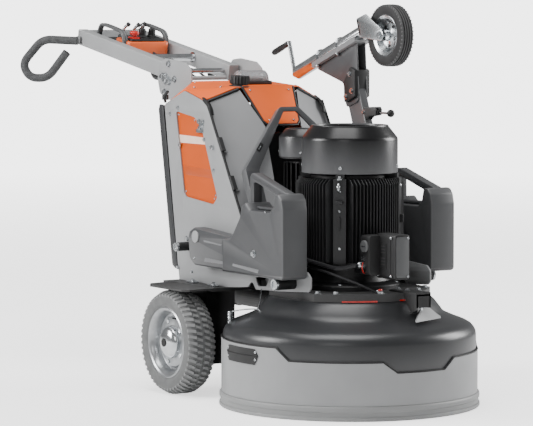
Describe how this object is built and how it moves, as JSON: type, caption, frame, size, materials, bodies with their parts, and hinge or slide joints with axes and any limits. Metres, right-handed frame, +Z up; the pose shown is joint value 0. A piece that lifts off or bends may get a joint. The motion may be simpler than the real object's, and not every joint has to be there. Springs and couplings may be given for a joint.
{
  "type": "planetary floor grinder",
  "caption": "Walk-behind planetary concrete grinder with a floating dust skirt, two upright motors, swing-over weights, a fold-down jockey wheel and a tilting handle.",
  "frame": {"origin": "on the floor, under the middle of the whole machine", "axes": "+Z up, -Y towards the grinding head (the front), +Y towards the operator, +X towards the jockey wheel side (the operator's left)"},
  "size_m": [0.8499, 2.1656, 1.3],
  "materials": {
    "grey_paint": "satin powder coat, light grey",
    "mid_grey_paint": "satin powder coat, mid grey",
    "dark_grey_paint": "satin powder coat, dark grey",
    "black_paint": "semi-gloss black",
    "orange_paint": "gloss orange",
    "motor_casting": "black painted casting",
    "machined_steel": "machined",
    "cast_weight": "cast iron, painted dark grey",
    "zinc": "bright zinc plate",
    "alloy_rim": "painted silver",
    "cover_plastic": "moulded, satin",
    "black_plastic": "moulded",
    "orange_plastic": "moulded",
    "red_plastic": "glossy red",
    "clear_lens": "clear",
    "grey_tyre": "non-marking grey",
    "dark_tyre": "black",
    "rubber": "black rubber",
    "lip_rubber": "grey rubber",
    "foam": "dark grey foam",
    "cable_sheath": "black sheath"
  },
  "bodies": {
    "chassis": {"base_plate": "black_paint", "head_cover": "cover_plastic", "front_bracket": "black_paint", "gusset_plate": "grey_paint", "bearing_housing": "machined_steel", "motor_body": "motor_casting", "motor_fan_cover": "black_paint", "terminal_box": "black_plastic", "cable_glands": "zinc", "small_motor_body": "motor_casting", "small_fan_cover": "black_paint", "motor_cable": "cable_sheath", "sensor_cable": "cable_sheath", "side_plate_right": "grey_paint", "side_plate_left": "grey_paint", "inset_panels": "orange_paint", "deck_plate": "black_paint", "gearboxes": "black_paint", "hose_port": "black_plastic", "top_cover": "orange_plastic", "front_panel": "mid_grey_paint", "front_shield": "dark_grey_paint", "electronics_box": "black_plastic", "rear_panel": "black_paint", "beacon_base": "black_plastic", "beacon_lens": "clear_lens", "hinge_plates": "grey_paint", "bumpers": "rubber", "chassis_bolts": "zinc"},
    "skirt": {"skirt_band": "grey_paint", "skirt_lip": "lip_rubber", "skirt_holds": "black_plastic"},
    "planetary": {"planetary_disc": "machined_steel"},
    "disc_1": {"grinding_disc_1": "machined_steel"},
    "disc_2": {"grinding_disc_2": "machined_steel"},
    "disc_3": {"grinding_disc_3": "machined_steel"},
    "main_rotor": {"main_rotor": "machined_steel", "main_fan": "black_plastic"},
    "small_rotor": {"small_rotor": "machined_steel"},
    "rear_door": {"rear_door": "cover_plastic"},
    "filler_cap": {"filler_cap": "black_plastic"},
    "wheel_right": {"tyre_right": "grey_tyre", "rim_right": "alloy_rim"},
    "wheel_left": {"tyre_left": "grey_tyre", "rim_left": "alloy_rim"},
    "weight_right": {"weight_right": "cast_weight"},
    "weight_left": {"weight_left": "cast_weight"},
    "jockey_arm": {"jockey_post": "dark_grey_paint", "jockey_tube": "zinc"},
    "jockey_fork": {"jockey_fork": "zinc"},
    "jockey_wheel": {"jockey_tyre": "dark_tyre", "jockey_rim": "zinc"},
    "jockey_crank": {"jockey_crank": "zinc"},
    "lock_knob": {"lock_knob": "black_plastic"},
    "handle": {"handle_frame": "grey_paint", "control_box": "orange_plastic", "grips": "foam"},
    "estop": {"estop_button": "red_plastic"},
    "speed_knob": {"speed_knob": "black_plastic"},
    "mode_knob": {"mode_knob": "black_plastic"}
  },
  "joints": [
    {"name": "skirt_float", "type": "slide", "parent": "chassis", "child": "skirt", "axis": [0, 0, 1], "range_m": [-0.012, 0.008]},
    {"name": "planetary_spin", "type": "hinge", "parent": "chassis", "child": "planetary", "pos_m": [0, -0.6578, 0.2], "axis": [0, 0, 1], "continuous": true},
    {"name": "disc_1_spin", "type": "hinge", "parent": "planetary", "child": "disc_1", "pos_m": [0, -0.4228, 0.08], "axis": [0, 0, 1], "continuous": true},
    {"name": "disc_2_spin", "type": "hinge", "parent": "planetary", "child": "disc_2", "pos_m": [-0.20352, -0.7753, 0.08], "axis": [0, 0, 1], "continuous": true},
    {"name": "disc_3_spin", "type": "hinge", "parent": "planetary", "child": "disc_3", "pos_m": [0.20352, -0.7753, 0.08], "axis": [0, 0, 1], "continuous": true},
    {"name": "main_motor_spin", "type": "hinge", "parent": "chassis", "child": "main_rotor", "pos_m": [0, -0.6578, 0.6], "axis": [0, 0, 1], "continuous": true},
    {"name": "small_motor_spin", "type": "hinge", "parent": "chassis", "child": "small_rotor", "pos_m": [0, -0.4018, 0.6], "axis": [0, 0, 1], "continuous": true},
    {"name": "rear_door_hinge", "type": "hinge", "parent": "chassis", "child": "rear_door", "pos_m": [0.21, 0.0512, 0.404], "axis": [0, 0.1668, 0.986], "range_deg": [-90, 0]},
    {"name": "filler_cap_turn", "type": "hinge", "parent": "chassis", "child": "filler_cap", "pos_m": [-0.09, -0.1244, 1.03384], "axis": [0, -0.0544, 0.9985], "range_deg": [0, 120]},
    {"name": "wheel_right_spin", "type": "hinge", "parent": "chassis", "child": "wheel_right", "pos_m": [-0.356, -0.1588, 0.1745], "axis": [1, 0, 0], "continuous": true},
    {"name": "wheel_left_spin", "type": "hinge", "parent": "chassis", "child": "wheel_left", "pos_m": [0.356, -0.1588, 0.1745], "axis": [1, 0, 0], "continuous": true},
    {"name": "weight_right_swing", "type": "hinge", "parent": "chassis", "child": "weight_right", "pos_m": [-0.265, -0.1678, 0.524], "axis": [1, 0, 0], "range_deg": [-172, 0]},
    {"name": "weight_left_swing", "type": "hinge", "parent": "chassis", "child": "weight_left", "pos_m": [0.265, -0.1678, 0.524], "axis": [1, 0, 0], "range_deg": [-172, 0]},
    {"name": "jockey_swing", "type": "hinge", "parent": "chassis", "child": "jockey_arm", "pos_m": [0.205, -0.6078, 0.435], "axis": [1, 0, 0], "range_deg": [0, 110]},
    {"name": "jockey_lift", "type": "slide", "parent": "jockey_arm", "child": "jockey_fork", "axis": [0, -0.9421, 0.3355], "range_m": [0, 0.18]},
    {"name": "jockey_wheel_spin", "type": "hinge", "parent": "jockey_fork", "child": "jockey_wheel", "pos_m": [0.205, -0.5918, 1.197], "axis": [1, 0, 0], "continuous": true},
    {"name": "crank_turn", "type": "hinge", "parent": "jockey_arm", "child": "jockey_crank", "pos_m": [0.205, -0.0288, 1.063], "axis": [0, 0.9421, -0.3355], "range_deg": [-45, 90]},
    {"name": "lock_pull", "type": "slide", "parent": "jockey_arm", "child": "lock_knob", "axis": [0, -1, 0], "range_m": [0, 0.012], "stiffness_N_per_m": 400},
    {"name": "handle_tilt", "type": "hinge", "parent": "chassis", "child": "handle", "pos_m": [0, 0.2762, 1.04], "axis": [1, 0, 0], "range_deg": [-15, 75]},
    {"name": "estop_press", "type": "slide", "parent": "handle", "child": "estop", "axis": [0, 0.1736, -0.9848], "range_m": [0, 0.005], "stiffness_N_per_m": 2000},
    {"name": "speed_knob_turn", "type": "hinge", "parent": "handle", "child": "speed_knob", "pos_m": [0, 0.70265, 1.18562], "axis": [0, -0.1736, 0.9848], "range_deg": [-140, 140]},
    {"name": "mode_knob_turn", "type": "hinge", "parent": "handle", "child": "mode_knob", "pos_m": [0.04, 0.70265, 1.18562], "axis": [0, -0.1736, 0.9848], "range_deg": [-60, 60]}
  ],
  "couplings": [
    {"joint": "disc_1_spin", "follows": "main_motor_spin", "ratio": 1.0909},
    {"joint": "disc_2_spin", "follows": "main_motor_spin", "ratio": 1.0909},
    {"joint": "disc_3_spin", "follows": "main_motor_spin", "ratio": 1.0909},
    {"joint": "small_motor_spin", "follows": "planetary_spin", "ratio": 4.4118}
  ]
}
